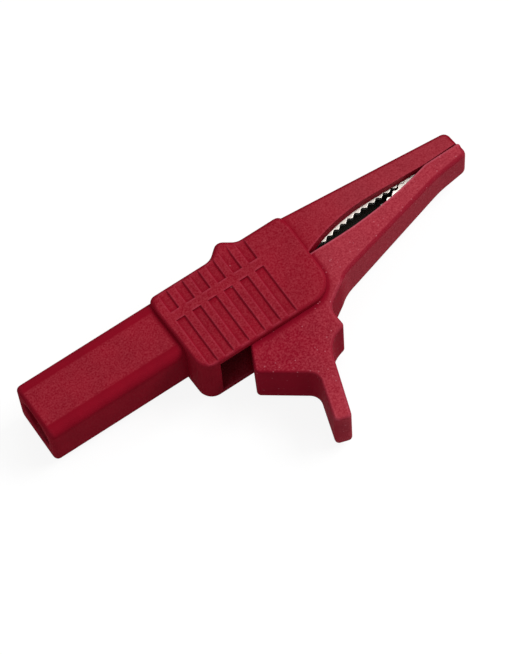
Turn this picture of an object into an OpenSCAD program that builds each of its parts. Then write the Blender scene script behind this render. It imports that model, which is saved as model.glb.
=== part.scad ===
// Insulated crocodile clip with a socket for a 4 mm test plug in its square tail.
// The clip lies on its side. X runs from the socket to the jaw tips, Y points to the thumb side
// and Z is the thickness. The origin is the middle of the socket sleeve's mouth.

/* [Tail] */
// Length of the square tail, open end to grip
tail_len = 27.1; // [25:0.1:30]
// Width of the tail across its flats
tail_w = 11.5; // [11:0.1:12.4]
// Rounding of the tail's long edges
tail_r = 1.5; // [1:0.1:2]
// Rounding of the edges at the tail's open end
tail_end_r = 0.9; // [0.3:0.1:1.3]

/* [Socket] */
// Bore of the sleeve that takes the test plug
plug_d = 4; // [3.8:0.05:4.2]
// Wall of the sleeve
sleeve_wall = 0.7; // [0.5:0.05:0.8]
// Depth of the plug bore in the sleeve
plug_depth = 19; // [16:0.5:20]
// Depth of the sleeve's mouth inside the tail
sleeve_inset = 5.5; // [4:0.1:7]
// Bore of the insulating shroud round the sleeve
shroud_d = 8.2; // [7.8:0.1:8.6]
// Depth of the shroud
shroud_depth = 18; // [15:0.5:20]

/* [Grip] */
// Length of the grip, tail to jaws
grip_len = 27.5; // [26.5:0.1:29]
// Thickness over the two cheeks
grip_t = 13.6; // [13.2:0.1:14.4]
// Height of the grip's back over the socket axis, at the tail
grip_top = 5.95; // [5.8:0.05:6.4]
// Height of the grip's back over the socket axis, at the jaws
grip_front_top = 6.25; // [6.1:0.05:6.8]
// Reach of the cheeks below the socket axis
grip_drop = 10.9; // [10:0.1:11.4]
// Wall of a cheek beside the trigger
cheek_wall = 1.35; // [1.2:0.05:1.5]
// Radius of the cheeks' lower front corner
nose_r = 4.6; // [3.5:0.1:5.5]
// Lean of the cheeks' rear edge
rear_lean = 1.6; // [0:0.2:3]
// Radius of the cheeks' lower rear corner
cheek_corner_r = 2.7; // [1.5:0.1:3.5]
// Radius of the cheeks' two corners along the back
back_corner_r = 1.4; // [1.35:0.05:1.6]
// Rounding of the cheeks' lower edges
cheek_edge_r = 0.6; // [0.3:0.05:0.6]
// Rounding of the edges along the back
back_edge_r = 1.1; // [0.6:0.05:1.3]
// Place of the thumb ridge, from the tail
thumb_at = 15.5; // [14:0.1:17]
// Height of the thumb ridge before its top is rounded
thumb_h = 2.1; // [1.6:0.1:2.6]
// Radius over the top of the thumb ridge
thumb_r = 1.6; // [1.2:0.1:1.8]
// Radius at the feet of the thumb ridge
thumb_foot_r = 2.8; // [2:0.1:3.2]
// Slope of the thumb ridge on the tail's side
thumb_rear_slope = 41; // [38:1:44]
// Slope of the thumb ridge on the jaws' side
thumb_front_slope = 35; // [32:1:38]

/* [Finger grooves] */
// Number of grooves in a row
groove_n = 6; // [4:1:7]
// Distance from groove to groove
groove_pitch = 3.21; // [3:0.01:3.3]
// Width of a groove at the cheek's face
groove_w = 1.85; // [1.4:0.05:2.2]
// Depth of a groove
groove_depth = 0.3; // [0.2:0.02:0.4]
// Draft of a groove's long walls
groove_draft = 40; // [15:1:45]
// Depth that is left of a groove at the cheek's edge
groove_lip = 0.08; // [0.04:0.01:0.09]
// Length along which the groove's floor rises to that
groove_ramp = 1.4; // [0.8:0.1:2]
// Distance from the tail to the first groove
groove_start = 1.7; // [1.4:0.1:2.2]
// Height of the middle of the bar between the two rows
bar_y = 0.5; // [0:0.1:1]
// Width of the bar between the two rows
bar_w = 1.8; // [1.4:0.1:2.4]

/* [Jaws] */
// Length of the jaws, grip to tip
jaw_len = 34.1; // [33.3:0.1:35]
// Height of the upper jaw's back over the socket axis, at the grip
jaw_back_root = 5.85; // [5.65:0.05:6]
// Height of the upper jaw's back over the socket axis, at the tip
jaw_back_tip = 4.2; // [4:0.05:4.5]
// Step from a cheek down to the upper jaw's side
jaw_step = 0.65; // [0.65:0.05:0.8]
// Thickness of both jaws at the tip
tip_t = 6.8; // [6.6:0.1:7.4]
// Height of the parting line at the tip
part_tip = 1.2; // [1.1:0.05:1.3]
// Length of the tip where the jaws meet
bite_len = 7.7; // [7.3:0.1:8.1]
// Drop of the parting line along that length
part_drop = 0.45; // [0.4:0.05:0.5]
// Depth of the mouth below the socket axis
mouth_low = 2.4; // [2.3:0.05:2.5]
// Height of the mouth over the socket axis
mouth_high = 0.85; // [0.8:0.05:0.95]
// Radius of the mouth's upper edge
mouth_up_r = 36; // [34:0.5:38]
// Radius of the mouth's lower edge
mouth_low_r = 85; // [80:1:90]
// Depth of the lower jaw's outside below the axis, at the tip
chin_tip = 1.6; // [1.5:0.05:1.8]
// Depth of the lower jaw's outside below the axis, at the chin
chin_drop = 2.3; // [2.2:0.05:2.5]
// Distance of the chin from the tip
chin_back = 6.4; // [5.7:0.1:7.2]
// Rake of the lower jaw's outside
jaw_rake = 14.9; // [14.5:0.1:15.5]
// Radius of the chin
chin_r = 20; // [12:1:24]
// Distance from the chin back to the bend under the throat
throat_back = 24.1; // [23.6:0.1:24.4]
// Radius of that bend
bend_r = 8; // [5:0.5:9]
// Wall of the jaws behind the contacts
jaw_wall = 1.7; // [1.5:0.05:1.8]
// Radius of the jaws' corners at the tip
tip_r = 1.3; // [1.1:0.05:1.4]
// Lean of the jaws' tips
tip_lean = 5; // [0:0.5:8]
// Reach of the lower jaw's tip beyond the upper one
under_bite = 0.2; // [0:0.05:0.5]
// Rounding of the jaws' outer edges
jaw_edge_r = 0.9; // [0.3:0.05:1]

/* [Trigger] */
// Distance of the pivot from the tail
pivot_back = 20.9; // [20.5:0.1:21.3]
// Depth of the pivot below the socket axis
pivot_drop = 4.8; // [4.6:0.1:5]
// Diameter of the pivot pin
pin_d = 2.6; // [2.2:0.1:2.8]
// Opening angle of the jaws
open_angle = 28; // [20:1:28]
// Radius of the trigger's hub
hub_r = 3.9; // [3.7:0.05:4]
// Distance of the heel behind the pivot
heel_back = 13.25; // [12.8:0.05:13.6]
// Depth of the heel below the pivot
heel_drop = 10.5; // [10:0.1:11]
// Lean of the heel's rear face
heel_lean = 26.4; // [24:0.2:28]
// Height of the heel's rear face
heel_h = 10.2; // [9.8:0.1:10.4]
// Length of the trigger's underside, heel to leg
underside_len = 10.7; // [10:0.1:11.4]
// Slope of the trigger's underside
underside_slope = 35.9; // [34:0.1:38]
// Length of the trigger's leg
leg_len = 9.3; // [8:0.05:11]
// Thickness of the trigger's leg
leg_w = 3.1; // [2.8:0.05:3.4]
// Lean of the trigger's leg
leg_lean = 17.4; // [16:0.2:19]
// Flare of the leg towards its root
leg_flare = 1.4; // [0:0.2:2.4]
// Length of the finger face on the leg
finger_len = 14.2; // [13.6:0.1:14.8]
// Radius of the finger hollow
finger_r = 5; // [4.5:0.1:5.4]
// Reach of the finger stop ahead of the pivot
stop_ahead = 4.1; // [3.8:0.05:4.4]
// Depth of the finger stop below the pivot
stop_drop = 12; // [11.6:0.1:12.4]
// Depth of the throat below the pivot
throat_drop = 8; // [7.6:0.1:8.4]
// Radius of the throat above the finger stop
throat_r = 2.5; // [1.5:0.1:3]
// Radius between the leg and the underside
crotch_r = 2.3; // [1.5:0.1:3]
// Radius of the trigger's other corners
trigger_r = 0.8; // [0.7:0.05:0.9]
// Rounding of the trigger's edges
trigger_edge_r = 0.5; // [0.2:0.05:0.6]

/* [Contacts] */
// Thickness of the contact sheet
sheet_t = 0.7; // [0.6:0.05:0.75]
// Distance from tooth to tooth
tooth_pitch = 1.6; // [1.3:0.05:1.8]
// Height of a tooth
tooth_h = 0.5; // [0.3:0.05:0.55]
// Width over the contacts at the tip
contact_tip_w = 3.9; // [3.7:0.05:4.1]
// Width over the lower contact's ears
ears_w = 7.4; // [7.3:0.05:7.5]
// Radius of the contacts' ears
ear_r = 3; // [2.6:0.05:3.1]
// Width of the strap to the socket
strap_w = 4.2; // [3.6:0.1:4.4]
// Diameter of the strap's rivet
rivet_d = 1.8; // [1.6:0.1:2]

/* [Spring] */
// Diameter of the spring wire
wire_d = 0.9; // [0.7:0.05:0.9]
// Mean diameter of the coil
coil_d = 4; // [3.9:0.1:4.2]
// Whole turns of the coil
coil_turns = 3; // [2:1:3]

/* [Clearances] */
// Side gap between the trigger and a cheek
side_gap = 0.25; // [0.2:0.05:0.3]
// Radial clearance of the pivot pin in its bores
pin_gap = 0.04; // [0.02:0.01:0.08]
// Gap of the closed jaws along the parting line
part_gap = 0.1; // [0.08:0.01:0.14]
// Gap round a contact in its pocket
seat_gap = 0.05; // [0.03:0.01:0.08]
// Gap between meshed teeth, and between sliding ears
mesh_gap = 0.12; // [0.1:0.01:0.15]
// Room round what swings inside the grip
swing_gap = 0.35; // [0.3:0.05:0.45]

/* [Hidden] */
$fn = 48;
arc_sag = 0.012;     // how far a chord may lie inside its arc
arc_step_max = 15;   // widest step along an arc, degrees
edge_steps = 4;      // facets across a rounded edge
sharp_r = 0.12;      // rounding left on an edge that looks sharp
wave_steps = 6;      // points along one tooth
wire_sides = 10;
coil_steps = 16;     // rings in one turn of the coil
root_lap = 4.5;      // length of the upper jaw that is one with the grip
past = 3;            // how far a cut runs past the face that it opens
tail_lap = 2;        // length of the tail that is one with the grip
mouth_bevel = 0.3;   // bevel at the mouths of the shroud and the sleeve
lip_r = 0.5;         // radius of the lower jaw's tip at the parting line
lip_edge_r = 0.4;    // rounding of that corner's edge
throat_in = 0.25;    // how far the throat lies behind the finger stop
taper_back = 1.1;    // from the bend under the throat back to the lower jaw's taper
hub_step = 0.3;      // how far the well's step lies behind the front of the hub
coil_gap = 0.05;     // gap between the turns of the coil
tiny = 0.000001;

tail_x = -sleeve_inset;
grip_x = tail_x + tail_len;
jaw_root = grip_x + grip_len;
tip_x = jaw_root + jaw_len;
pivot = [grip_x + pivot_back, -pivot_drop];
cheek_in = grip_t / 2 - cheek_wall;
trigger_half = cheek_in - side_gap;
tip_half = tip_t / 2;

// Heel, leg and finger stop of the trigger
heel = pivot - [heel_back, heel_drop];
heel_up = [sin(heel_lean), cos(heel_lean)];
heel_top = heel + heel_h * heel_up;
leg_down = [-sin(leg_lean), -cos(leg_lean)];
crotch = heel + underside_len * [cos(underside_slope), -sin(underside_slope)];
leg_rear = crotch + leg_len * leg_down;
leg_front = leg_rear + leg_w * [cos(leg_lean), -sin(leg_lean)];
finger = leg_front + finger_len * [sin(leg_lean + leg_flare), cos(leg_lean + leg_flare)];
finger_stop = pivot + [stop_ahead, -stop_drop];

// Lines of the jaws
function tip_at(y) = tip_x - (y + chin_tip) * tan(tip_lean);
chin = [tip_x - chin_back, -chin_drop];
function chin_y(x) = chin.y - (chin.x - x) * tan(jaw_rake);
bend = [chin.x - throat_back, chin_y(chin.x - throat_back)];
throat = [finger_stop.x - throat_in, pivot.y - throat_drop];
throat_slope = atan2(bend.y - throat.y, bend.x - throat.x);
bend_reach = bend_r * tan((throat_slope - jaw_rake) / 2) * cos(throat_slope);
fold_x = bend.x - bend_reach - taper_back;   // where the lower jaw's taper starts
bite = [tip_x - bite_len, part_tip - part_drop];
bite_gap = part_gap / 4;   // gap of the closed jaws where the mouth starts
low_turn = acos(1 - (bite.y + mouth_low) / mouth_low_r);
low_bend = bite.x - mouth_low_r * tan(low_turn / 2) * cos(low_turn);
low_start = bite.x - mouth_low_r * sin(low_turn);
up_turn = acos(1 - (mouth_high + mouth_low) / mouth_up_r);
up_bend = jaw_root + mouth_up_r * (sin(up_turn) - tan(up_turn / 2));
back_slope = (jaw_back_tip - jaw_back_root) / jaw_len;
function back_y(x) = jaw_back_root + (x - jaw_root) * back_slope;

// Contacts: where the teeth run and how wide the channels are
tip_wall = 1.9;          // from the contacts to the lower jaw's tip
contact_tip = tip_x - tip_wall;
teeth_end = jaw_root + 3.4;
bite_slope = 0.041;      // slope of the line of teeth at the tip
bite_bend = tip_x - 18.7;  // where the upper line of teeth starts to curve away
bite_r = 60;             // radius of that curve
bite_proud = 0.25;       // height of the lower teeth over the mouth's lower edge
mesh_x = tip_x - 12.9;   // from here to the tip the lower teeth reach the upper ones
mesh_slope = 0.33;       // slope of the lower line of teeth behind that
mesh_rise = 0.3;         // rise of both lines of teeth from there, into the upper jaw
mesh_rise_len = 2;       // length along which they rise
function upper_bite(x) = part_tip + part_gap / 2 - bite_slope * (tip_x - x)
    + mesh_rise * min(1, max(0, (x - mesh_x) / mesh_rise_len))
    - (x < bite_bend ? pow(bite_bend - x, 2) / (2 * bite_r) : 0);
function mouth_low_y(x) = -mouth_low + (x > low_start ? pow(x - low_start, 2) / (2 * mouth_low_r) : 0);
function lower_bite(x) = min(upper_bite(x) - mesh_gap, max(
    mouth_low_y(x) + bite_proud, upper_bite(mesh_x) - mesh_gap - mesh_slope * (mesh_x - x)));
function tooth(x) = tooth_h / 2 * cos(360 * (x - contact_tip) / tooth_pitch);
neck = [jaw_root - 0.8, upper_bite(teeth_end) - tooth_h / 2];
low_neck = [teeth_end - 0.4, -mouth_low - 0.1];
upper_ear = [-20, -180];   // from and to these angles the ears are round
lower_ear = [60, 280];
ears_half = ears_w / 2;
inner_ears_half = ears_half - sheet_t - mesh_gap;
lower_plan = [
    [pivot.x - 2 * ear_r, ears_half], [pivot.x + ear_r, ears_half], [contact_tip, contact_tip_w / 2]
];
joggle = [jaw_root - 0.6, jaw_root + 2.4];
upper_plan = [
    [pivot.x - 2 * ear_r, inner_ears_half], [joggle[0], inner_ears_half],
    [joggle[1], lookup(joggle[1], lower_plan)], [contact_tip, contact_tip_w / 2]
];
function web_y(x) = back_y(max(x, jaw_root)) - jaw_wall;
function floor_y(x) = min(chin_y(x), chin.y + (x - chin.x) * (chin.y + chin_tip) / -chin_back) + jaw_wall;
web_end = pivot.x - ear_r;

// Socket sleeve, the strap that runs to it, and its rivet
sleeve_r = plug_d / 2 + sleeve_wall;
heel_swing = norm(heel - pivot);
well_x = pivot.x - heel_swing - swing_gap;   // front face of the grip's rear wall
shoulder_t = 1;
shoulder_r = sleeve_r + 0.7;
tang_t = 1.6;
tang_w = 4;
tang_end = well_x + 7.3;
rivet_x = well_x + 4.6;
rivet_head_r = rivet_d / 2 + 0.7;
rivet_head_t = 0.6;
strap_y = tang_t / 2;
strap_bend = [tang_end + 2.4, web_end - 0.2];
well_roof = pivot.y + hub_r + swing_gap;
slot_half = max(ears_half, shoulder_r) + seat_gap;
slot_plan = [
    [well_x - past, slot_half], [joggle[1], lookup(joggle[1], upper_plan) + seat_gap],
    [contact_tip + past, lookup(contact_tip, upper_plan) + seat_gap]
];

// Spring: the two legs leave the coil as tangents
coil_r = coil_d / 2;
coil_pitch = wire_d + coil_gap;
still_end = [tang_end + 1.2, strap_y - wire_d / 2 - seat_gap];
moving_end = heel + 3.3 * heel_up + [3.1, 0];
function tangent_angle(p, r, side) =
    (atan2(p.y - pivot.y, p.x - pivot.x) + side * acos(r / norm(p - pivot)) + 360) % 360;
still_angle = tangent_angle(still_end, coil_r, -1);
moving_angle = tangent_angle(moving_end, coil_r, 1);
coil_sweep = 360 * coil_turns + still_angle - moving_angle + 360;
coil_half = coil_sweep / 360 * coil_pitch / 2;
spring_slot_half = coil_half + wire_d / 2 + mesh_gap;
function on_circle(r, a) = pivot + r * [cos(a), sin(a)];
moving_start = on_circle(coil_r, moving_angle);
moving_dir = (moving_end - moving_start) / norm(moving_end - moving_start);
ledge_off = (wire_d / 2 + seat_gap) * [-moving_dir.y, moving_dir.x];
ledge_in = moving_start + ledge_off;
ledge_end = moving_end + 1.8 * wire_d * moving_dir + ledge_off;

// Rounded outlines. A corner is [x, y, corner radius, edge rounding]
function unit(v) = v / norm(v);
function flat(c) = [c.x, c.y];
function corner(a, b, c) = b[2] == 0 ? [[b.x, b.y, b[3]]] : let (
    u = unit(flat(a) - flat(b)),
    v = unit(flat(c) - flat(b)),
    half = acos(u * v) / 2,
    hub = flat(b) + unit(u + v) * b[2] / sin(half),
    from = flat(b) + u * b[2] / tan(half) - hub,
    to = flat(b) + v * b[2] / tan(half) - hub,
    start = atan2(from.y, from.x),
    sweep = (atan2(to.y, to.x) - start + 540) % 360 - 180,
    steps = ceil(abs(sweep) / min(arc_step_max, 2 * acos(1 - arc_sag / b[2])))
) [for (k = [0:steps]) let (a = start + sweep * k / steps)
    [hub.x + b[2] * cos(a), hub.y + b[2] * sin(a), b[3]]];
function rounded(c) = let (n = len(c)) [
    for (i = [0:n - 1]) each corner(c[(i + n - 1) % n], c[i], c[(i + 1) % n])
];
function arc(c, r, from, to, edge) = let (steps = ceil(abs(to - from) / arc_step_max)) [
    for (k = [0:steps]) let (a = from + (to - from) * k / steps)
        [c.x + r * cos(a), c.y + r * sin(a), 0, edge]
];

// Point i of a counter-clockwise outline, moved inwards by d
function inset(p, i, d) = let (
    n = len(p),
    u = unit(flat(p[i]) - flat(p[(i + n - 1) % n])),
    v = unit(flat(p[(i + 1) % n]) - flat(p[i])),
    m = [-u.y - v.y, u.x + v.x]
) flat(p[i]) + d * m / (1 + u * v);

// Triangles that fill a counter-clockwise outline: one free corner after the other is cut off
function doubled_area(a, b, c) = (b.x - a.x) * (c.y - a.y) - (b.y - a.y) * (c.x - a.x);
function covers(a, b, c, p) = doubled_area(a, b, p) > -tiny && doubled_area(b, c, p) > -tiny
    && doubled_area(c, a, p) > -tiny;
function corner_of(left, i) = let (n = len(left)) [left[(i + n - 1) % n], left[i], left[(i + 1) % n]];
function is_free(p, left, t) = doubled_area(p[t[0]], p[t[1]], p[t[2]]) > tiny && len([
    for (k = left) if (k != t[0] && k != t[1] && k != t[2] && covers(p[t[0]], p[t[1]], p[t[2]], p[k])) k
]) == 0;
function free_corner(p, left, i = 0) =
    i == len(left) - 1 || is_free(p, left, corner_of(left, i)) ? i : free_corner(p, left, i + 1);
function filled(p, left) = len(left) == 3 ? [left] : let (i = free_corner(p, left)) concat(
    [corner_of(left, i)], filled(p, [for (k = [0:len(left) - 1]) if (k != i) left[k]])
);

// Solid moulding with rounded edges: half_t gives half its thickness along X, and may fold once
module moulded(outline, half_t, fold = undef) {
    n = len(outline);
    turns = [for (k = [0:edge_steps]) 90 * k / edge_steps];
    function ring(turn, side) = [for (i = [0:n - 1]) let (
        r = outline[i][2],
        p = inset(outline, i, r * (1 - cos(turn)))
    ) [p.x, p.y, side * (lookup(p.x, half_t) - r * (1 - sin(turn)))]];
    rings = concat(
        [for (k = [edge_steps:-1:0]) ring(turns[k], -1)],
        [for (turn = turns) ring(turn, 1)]
    );
    last = len(rings) - 1;
    function at(k, i) = k * n + i % n;
    cap = [for (side = is_undef(fold) ? [1] : [-1, 1]) each filled(rings[0], [for (i = [0:n - 1])
        if (is_undef(fold) || side * (rings[0][i].x - fold) > -tiny) i])];
    faces = concat(
        cap,
        [for (k = [0:last - 1], i = [0:n - 1]) each [
            [at(k, i), at(k + 1, i), at(k + 1, i + 1)], [at(k, i), at(k + 1, i + 1), at(k, i + 1)]
        ]],
        [for (t = cap) [at(last, t[2]), at(last, t[1]), at(last, t[0])]]
    );
    polyhedron([for (r = rings) each r], faces);
}

// Side profile in X and Y, kept inside a plan given as half widths along X
module planned(profile, plan) {
    mirrored = [for (i = [len(plan) - 1:-1:0]) [plan[i].x, -plan[i].y]];
    span = 4 * grip_t;
    intersection() {
        linear_extrude(height = span, center = true) polygon(profile);
        rotate([90, 0, 0]) linear_extrude(height = 2 * span, center = true) polygon(concat(plan, mirrored));
    }
}

function narrowed(plan, d) = [for (p = plan) [p.x, p.y - d]];

// Round bar along Z through the pivot
module on_pivot(r, half) {
    translate([pivot.x, pivot.y, 0]) cylinder(r = r, h = 2 * half, center = true);
}

module grip_block() {
    top = grip_front_top + thumb_h;
    thumb_x = grip_x + thumb_at;
    edge = cheek_edge_r;
    shoulder_y = grip_top - 2 * back_corner_r;
    function rear_x(y) = grip_x - y * tan(rear_lean);
    moulded(rounded([
        [jaw_root, -grip_drop, nose_r, edge],
        [jaw_root, shoulder_y, 0, edge],
        [jaw_root, grip_front_top, back_corner_r, back_edge_r],
        [thumb_x + thumb_h / tan(thumb_front_slope), grip_front_top, thumb_foot_r, back_edge_r],
        [thumb_x, top, thumb_r, back_edge_r],
        [thumb_x - (top - grip_top) / tan(thumb_rear_slope), grip_top, thumb_foot_r, back_edge_r],
        [rear_x(grip_top), grip_top, back_corner_r, back_edge_r],
        [rear_x(shoulder_y), shoulder_y, 0, edge],
        [rear_x(-grip_drop), -grip_drop, cheek_corner_r, edge]
    ]), [[grip_x, grip_t / 2], [jaw_root, grip_t / 2]]);
}

module tail_block() {
    half = tail_w / 2;
    length = tail_len + tail_lap;
    translate([tail_x + length / 2, 0, 0]) rotate([90, 0, 90]) moulded(rounded([
        [half, half, tail_r, tail_end_r], [-half, half, tail_r, tail_end_r],
        [-half, -half, tail_r, tail_end_r], [half, -half, tail_r, tail_end_r]
    ]), [[-half, length / 2], [half, length / 2]]);
}

module upper_jaw() {
    inner = jaw_root - root_lap;
    below = -grip_drop;
    half_root = grip_t / 2 - jaw_step;
    grow = (half_root - tip_half) / jaw_len;
    ahead = tip_x + past;
    part_x = tip_at(part_tip) - under_bite;
    difference() {
        moulded(rounded([
            [part_x, below, 0, jaw_edge_r],
            [part_x, part_tip, 0, jaw_edge_r],
            [tip_at(jaw_back_tip) - under_bite, jaw_back_tip, tip_r, jaw_edge_r],
            [inner, back_y(inner), 0, jaw_edge_r],
            [inner, below, 0, jaw_edge_r]
        ]), [[inner, half_root + grow * root_lap], [tip_x, tip_half]]);
        mouth = rounded([
            [ahead, part_tip + part_gap / 2 + past * part_drop / bite_len, 0],
            [bite.x, bite.y + bite_gap / 2, 0],
            [up_bend, mouth_high, mouth_up_r],
            [inner - past, -mouth_low - (root_lap + past) * tan(up_turn), 0],
            [inner - past, below - past, 0],
            [ahead, below - past, 0]
        ]);
        linear_extrude(height = 2 * grip_t, center = true) polygon([for (p = mouth) flat(p)]);
    }
}

// Two rows of finger grooves in one cheek, with floors that rise towards the cheek's edges
module finger_grooves() {
    floor_z = grip_t / 2 - groove_depth;
    rise = 2 * (groove_depth - groove_lip);
    over = grip_t / 2 + groove_depth;
    splay = groove_depth * tan(groove_draft);
    floor_half = groove_w / 2 - splay;
    function row(from, edge, side) = [
        [from, over], [from, floor_z], [edge - side * groove_ramp, floor_z],
        [edge + side * groove_ramp, floor_z + rise], [edge + side * groove_ramp, over]
    ];
    rows = [row(bar_y + bar_w / 2, grip_top, 1), row(bar_y - bar_w / 2, -grip_drop, -1)];
    intersection() {
        for (profile = rows) translate([grip_x, 0, 0]) rotate([90, 0, 90])
            linear_extrude(height = grip_len) polygon(profile);
        for (i = [0:groove_n - 1])
            translate([grip_x + groove_start + groove_w / 2 + i * groove_pitch, 0, 0]) rotate([90, 0, 0])
                linear_extrude(height = 4 * grip_drop, center = true) polygon([
                    [-floor_half, floor_z], [floor_half, floor_z],
                    [floor_half + 2 * splay, over], [-floor_half - 2 * splay, over]
                ]);
    }
}

// Everything that is hollow in the housing
module housing_room() {
    step_x = pivot.x + hub_r - hub_step;
    lip = -mouth_low + swing_gap;
    linear_extrude(height = 2 * cheek_in, center = true) polygon([
        [well_x, -grip_drop - past], [jaw_root + past, -grip_drop - past], [jaw_root + past, lip],
        [step_x, lip], [step_x, well_roof], [well_x, well_roof]
    ]);
    pocket_end = contact_tip + seat_gap;
    planned([
        [well_x, -past], [pocket_end, -past], [pocket_end, web_y(pocket_end)],
        [jaw_root, web_y(jaw_root)], [well_x, web_y(jaw_root)]
    ], slot_plan);
    rotate([0, 90, 0]) {
        translate([0, 0, tail_x - past]) cylinder(d = shroud_d, h = shroud_depth + past);
        translate([0, 0, tail_x]) cylinder(d1 = shroud_d + 2 * mouth_bevel, d2 = shroud_d, h = mouth_bevel);
        cylinder(r = sleeve_r + seat_gap, h = well_x + past);
    }
    on_pivot(pin_d / 2 + pin_gap, cheek_in + cheek_wall / 2);
}

module housing() {
    color("#9e1b32") difference() {
        union() {
            tail_block();
            grip_block();
            upper_jaw();
        }
        housing_room();
        finger_grooves();
        mirror([0, 0, 1]) finger_grooves();
    }
}

module trigger_solid() {
    edge = trigger_edge_r;
    low_x = fold_x + edge * sin(throat_slope);
    hub_from = asin((pivot_drop - mouth_low) / hub_r);
    moulded(rounded(concat([
        [tip_x, -chin_tip, tip_r, jaw_edge_r],
        [tip_at(part_tip - 2 * lip_r), part_tip - 2 * lip_r, 0, jaw_edge_r],
        [tip_at(part_tip), part_tip - part_gap / 2, lip_r, lip_edge_r],
        [bite.x, bite.y - bite_gap / 2, 0, sharp_r / 2],
        [low_bend, -mouth_low, 0.97 * mouth_low_r, sharp_r],
        [fold_x, -mouth_low, 0, sharp_r]
    ], arc(pivot, hub_r, hub_from, tangent_angle(heel_top, hub_r, -1), sharp_r), [
        [heel_top.x, heel_top.y, trigger_r, sharp_r],
        [heel.x, heel.y, trigger_r, edge],
        [crotch.x, crotch.y, crotch_r, edge],
        [leg_rear.x, leg_rear.y, trigger_r, edge],
        [leg_front.x, leg_front.y, trigger_r, edge],
        [finger.x, finger.y, finger_r, edge],
        [finger_stop.x, finger_stop.y, trigger_r, edge],
        [throat.x, throat.y, throat_r, edge],
        [low_x, bend.y - (bend.x - low_x) * tan(throat_slope), 0, edge],
        [bend.x, bend.y, bend_r, jaw_edge_r],
        [chin.x, chin.y, chin_r, jaw_edge_r]
    ])), [[fold_x, trigger_half], [tip_x, tip_half]], fold_x);
}

// Room for the ears, the lower contact and the spring's moving leg
module trigger_room() {
    ear_room = ear_r + swing_gap;
    lean = [-sin(open_angle), cos(open_angle)];
    ear_side = on_circle(ear_room, 180 + open_angle);
    pocket_end = contact_tip + seat_gap;
    hub_floor = pivot.y - ear_room;
    room_plan = [for (p = lower_plan) [p.x == contact_tip ? tip_x : p.x, p.y + seat_gap]];
    on_pivot(ear_room, ears_half + seat_gap);
    planned([
        ear_side, [pivot.x, hub_floor], [pivot.x + ear_r, hub_floor], [fold_x, floor_y(fold_x)],
        [chin.x, floor_y(chin.x)], [pocket_end, floor_y(pocket_end)], [pocket_end, past],
        ear_side + 3 * ear_room * lean
    ], room_plan);
    linear_extrude(height = 2 * spring_slot_half, center = true) polygon([
        ledge_in, ledge_end, ledge_end + 2 * heel_drop * heel_up, [pivot.x, past]
    ]);
    on_pivot(pin_d / 2 + pin_gap, grip_t);
}

module trigger_jaw() {
    color("#ab2238") difference() {
        trigger_solid();
        trigger_room();
    }
}

// Toothed edge from the tip back to the end of the teeth
function teeth(upper) = let (
    step = tooth_pitch / wave_steps,
    count = floor((contact_tip - teeth_end) / step)
) [
    for (i = [0:count]) let (x = contact_tip - i * step)
        [x, (upper ? upper_bite(x) : lower_bite(x)) + tooth(x)]
];

function ear(span) = [for (p = arc(pivot, ear_r, span[0], span[1], 0)) flat(p)];

module upper_contact() {
    top = -seat_gap;
    under = top - sheet_t;
    color("#d9dade") difference() {
        union() {
            difference() {
                planned(concat(teeth(true), [neck], ear(upper_ear), [
                    [web_end, web_y(web_end) + top], [jaw_root, web_y(jaw_root) + top],
                    [contact_tip, web_y(contact_tip) + top]
                ]), upper_plan);
                planned([
                    [web_end - past, web_y(web_end) + under], [jaw_root, web_y(jaw_root) + under],
                    [contact_tip + past, web_y(contact_tip + past) + under],
                    [contact_tip + past, pivot.y - 2 * ear_r], [web_end - past, pivot.y - 2 * ear_r]
                ], narrowed(upper_plan, sheet_t));
            }
            strap_top = web_y(web_end) + top;
            linear_extrude(height = strap_w, center = true) polygon([
                [web_end + 1, strap_top], [strap_bend[1], strap_top], [strap_bend[0], strap_y + sheet_t],
                [well_x + 1.5 * shoulder_t, strap_y + sheet_t], [well_x + 1.5 * shoulder_t, strap_y],
                [strap_bend[0], strap_y], [strap_bend[1], strap_top - sheet_t],
                [web_end + 1, strap_top - sheet_t]
            ]);
        }
        on_pivot(pin_d / 2 + pin_gap, grip_t);
        rivet_bore();
    }
}

module lower_contact() {
    color("#d9dade") difference() {
        planned(concat(teeth(false), [low_neck], ear(lower_ear), [
            [fold_x, floor_y(fold_x) + seat_gap], [chin.x, floor_y(chin.x) + seat_gap],
            [contact_tip, floor_y(contact_tip) + seat_gap]
        ]), lower_plan);
        base = seat_gap + sheet_t;
        planned([
            [web_end - past, pivot.y - 2 * ear_r], [fold_x, pivot.y - 2 * ear_r],
            [fold_x, floor_y(fold_x) + base], [chin.x, floor_y(chin.x) + base],
            [contact_tip + past, floor_y(contact_tip + past) + base],
            [contact_tip + past, past], [web_end - past, past]
        ], narrowed(lower_plan, sheet_t));
        on_pivot(pin_d / 2 + pin_gap, grip_t);
    }
}

module pivot_pin() {
    length = 2 * (cheek_in + cheek_wall / 2 - seat_gap);
    tip = 0.3;
    color("#c4c6ca") translate([pivot.x, pivot.y, 0]) {
        cylinder(d = pin_d, h = length - 2 * tip, center = true);
        for (side = [0, 1]) mirror([0, 0, side]) translate([0, 0, length / 2 - tip])
            cylinder(d1 = pin_d, d2 = pin_d - 2 * tip, h = tip);
    }
}

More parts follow.
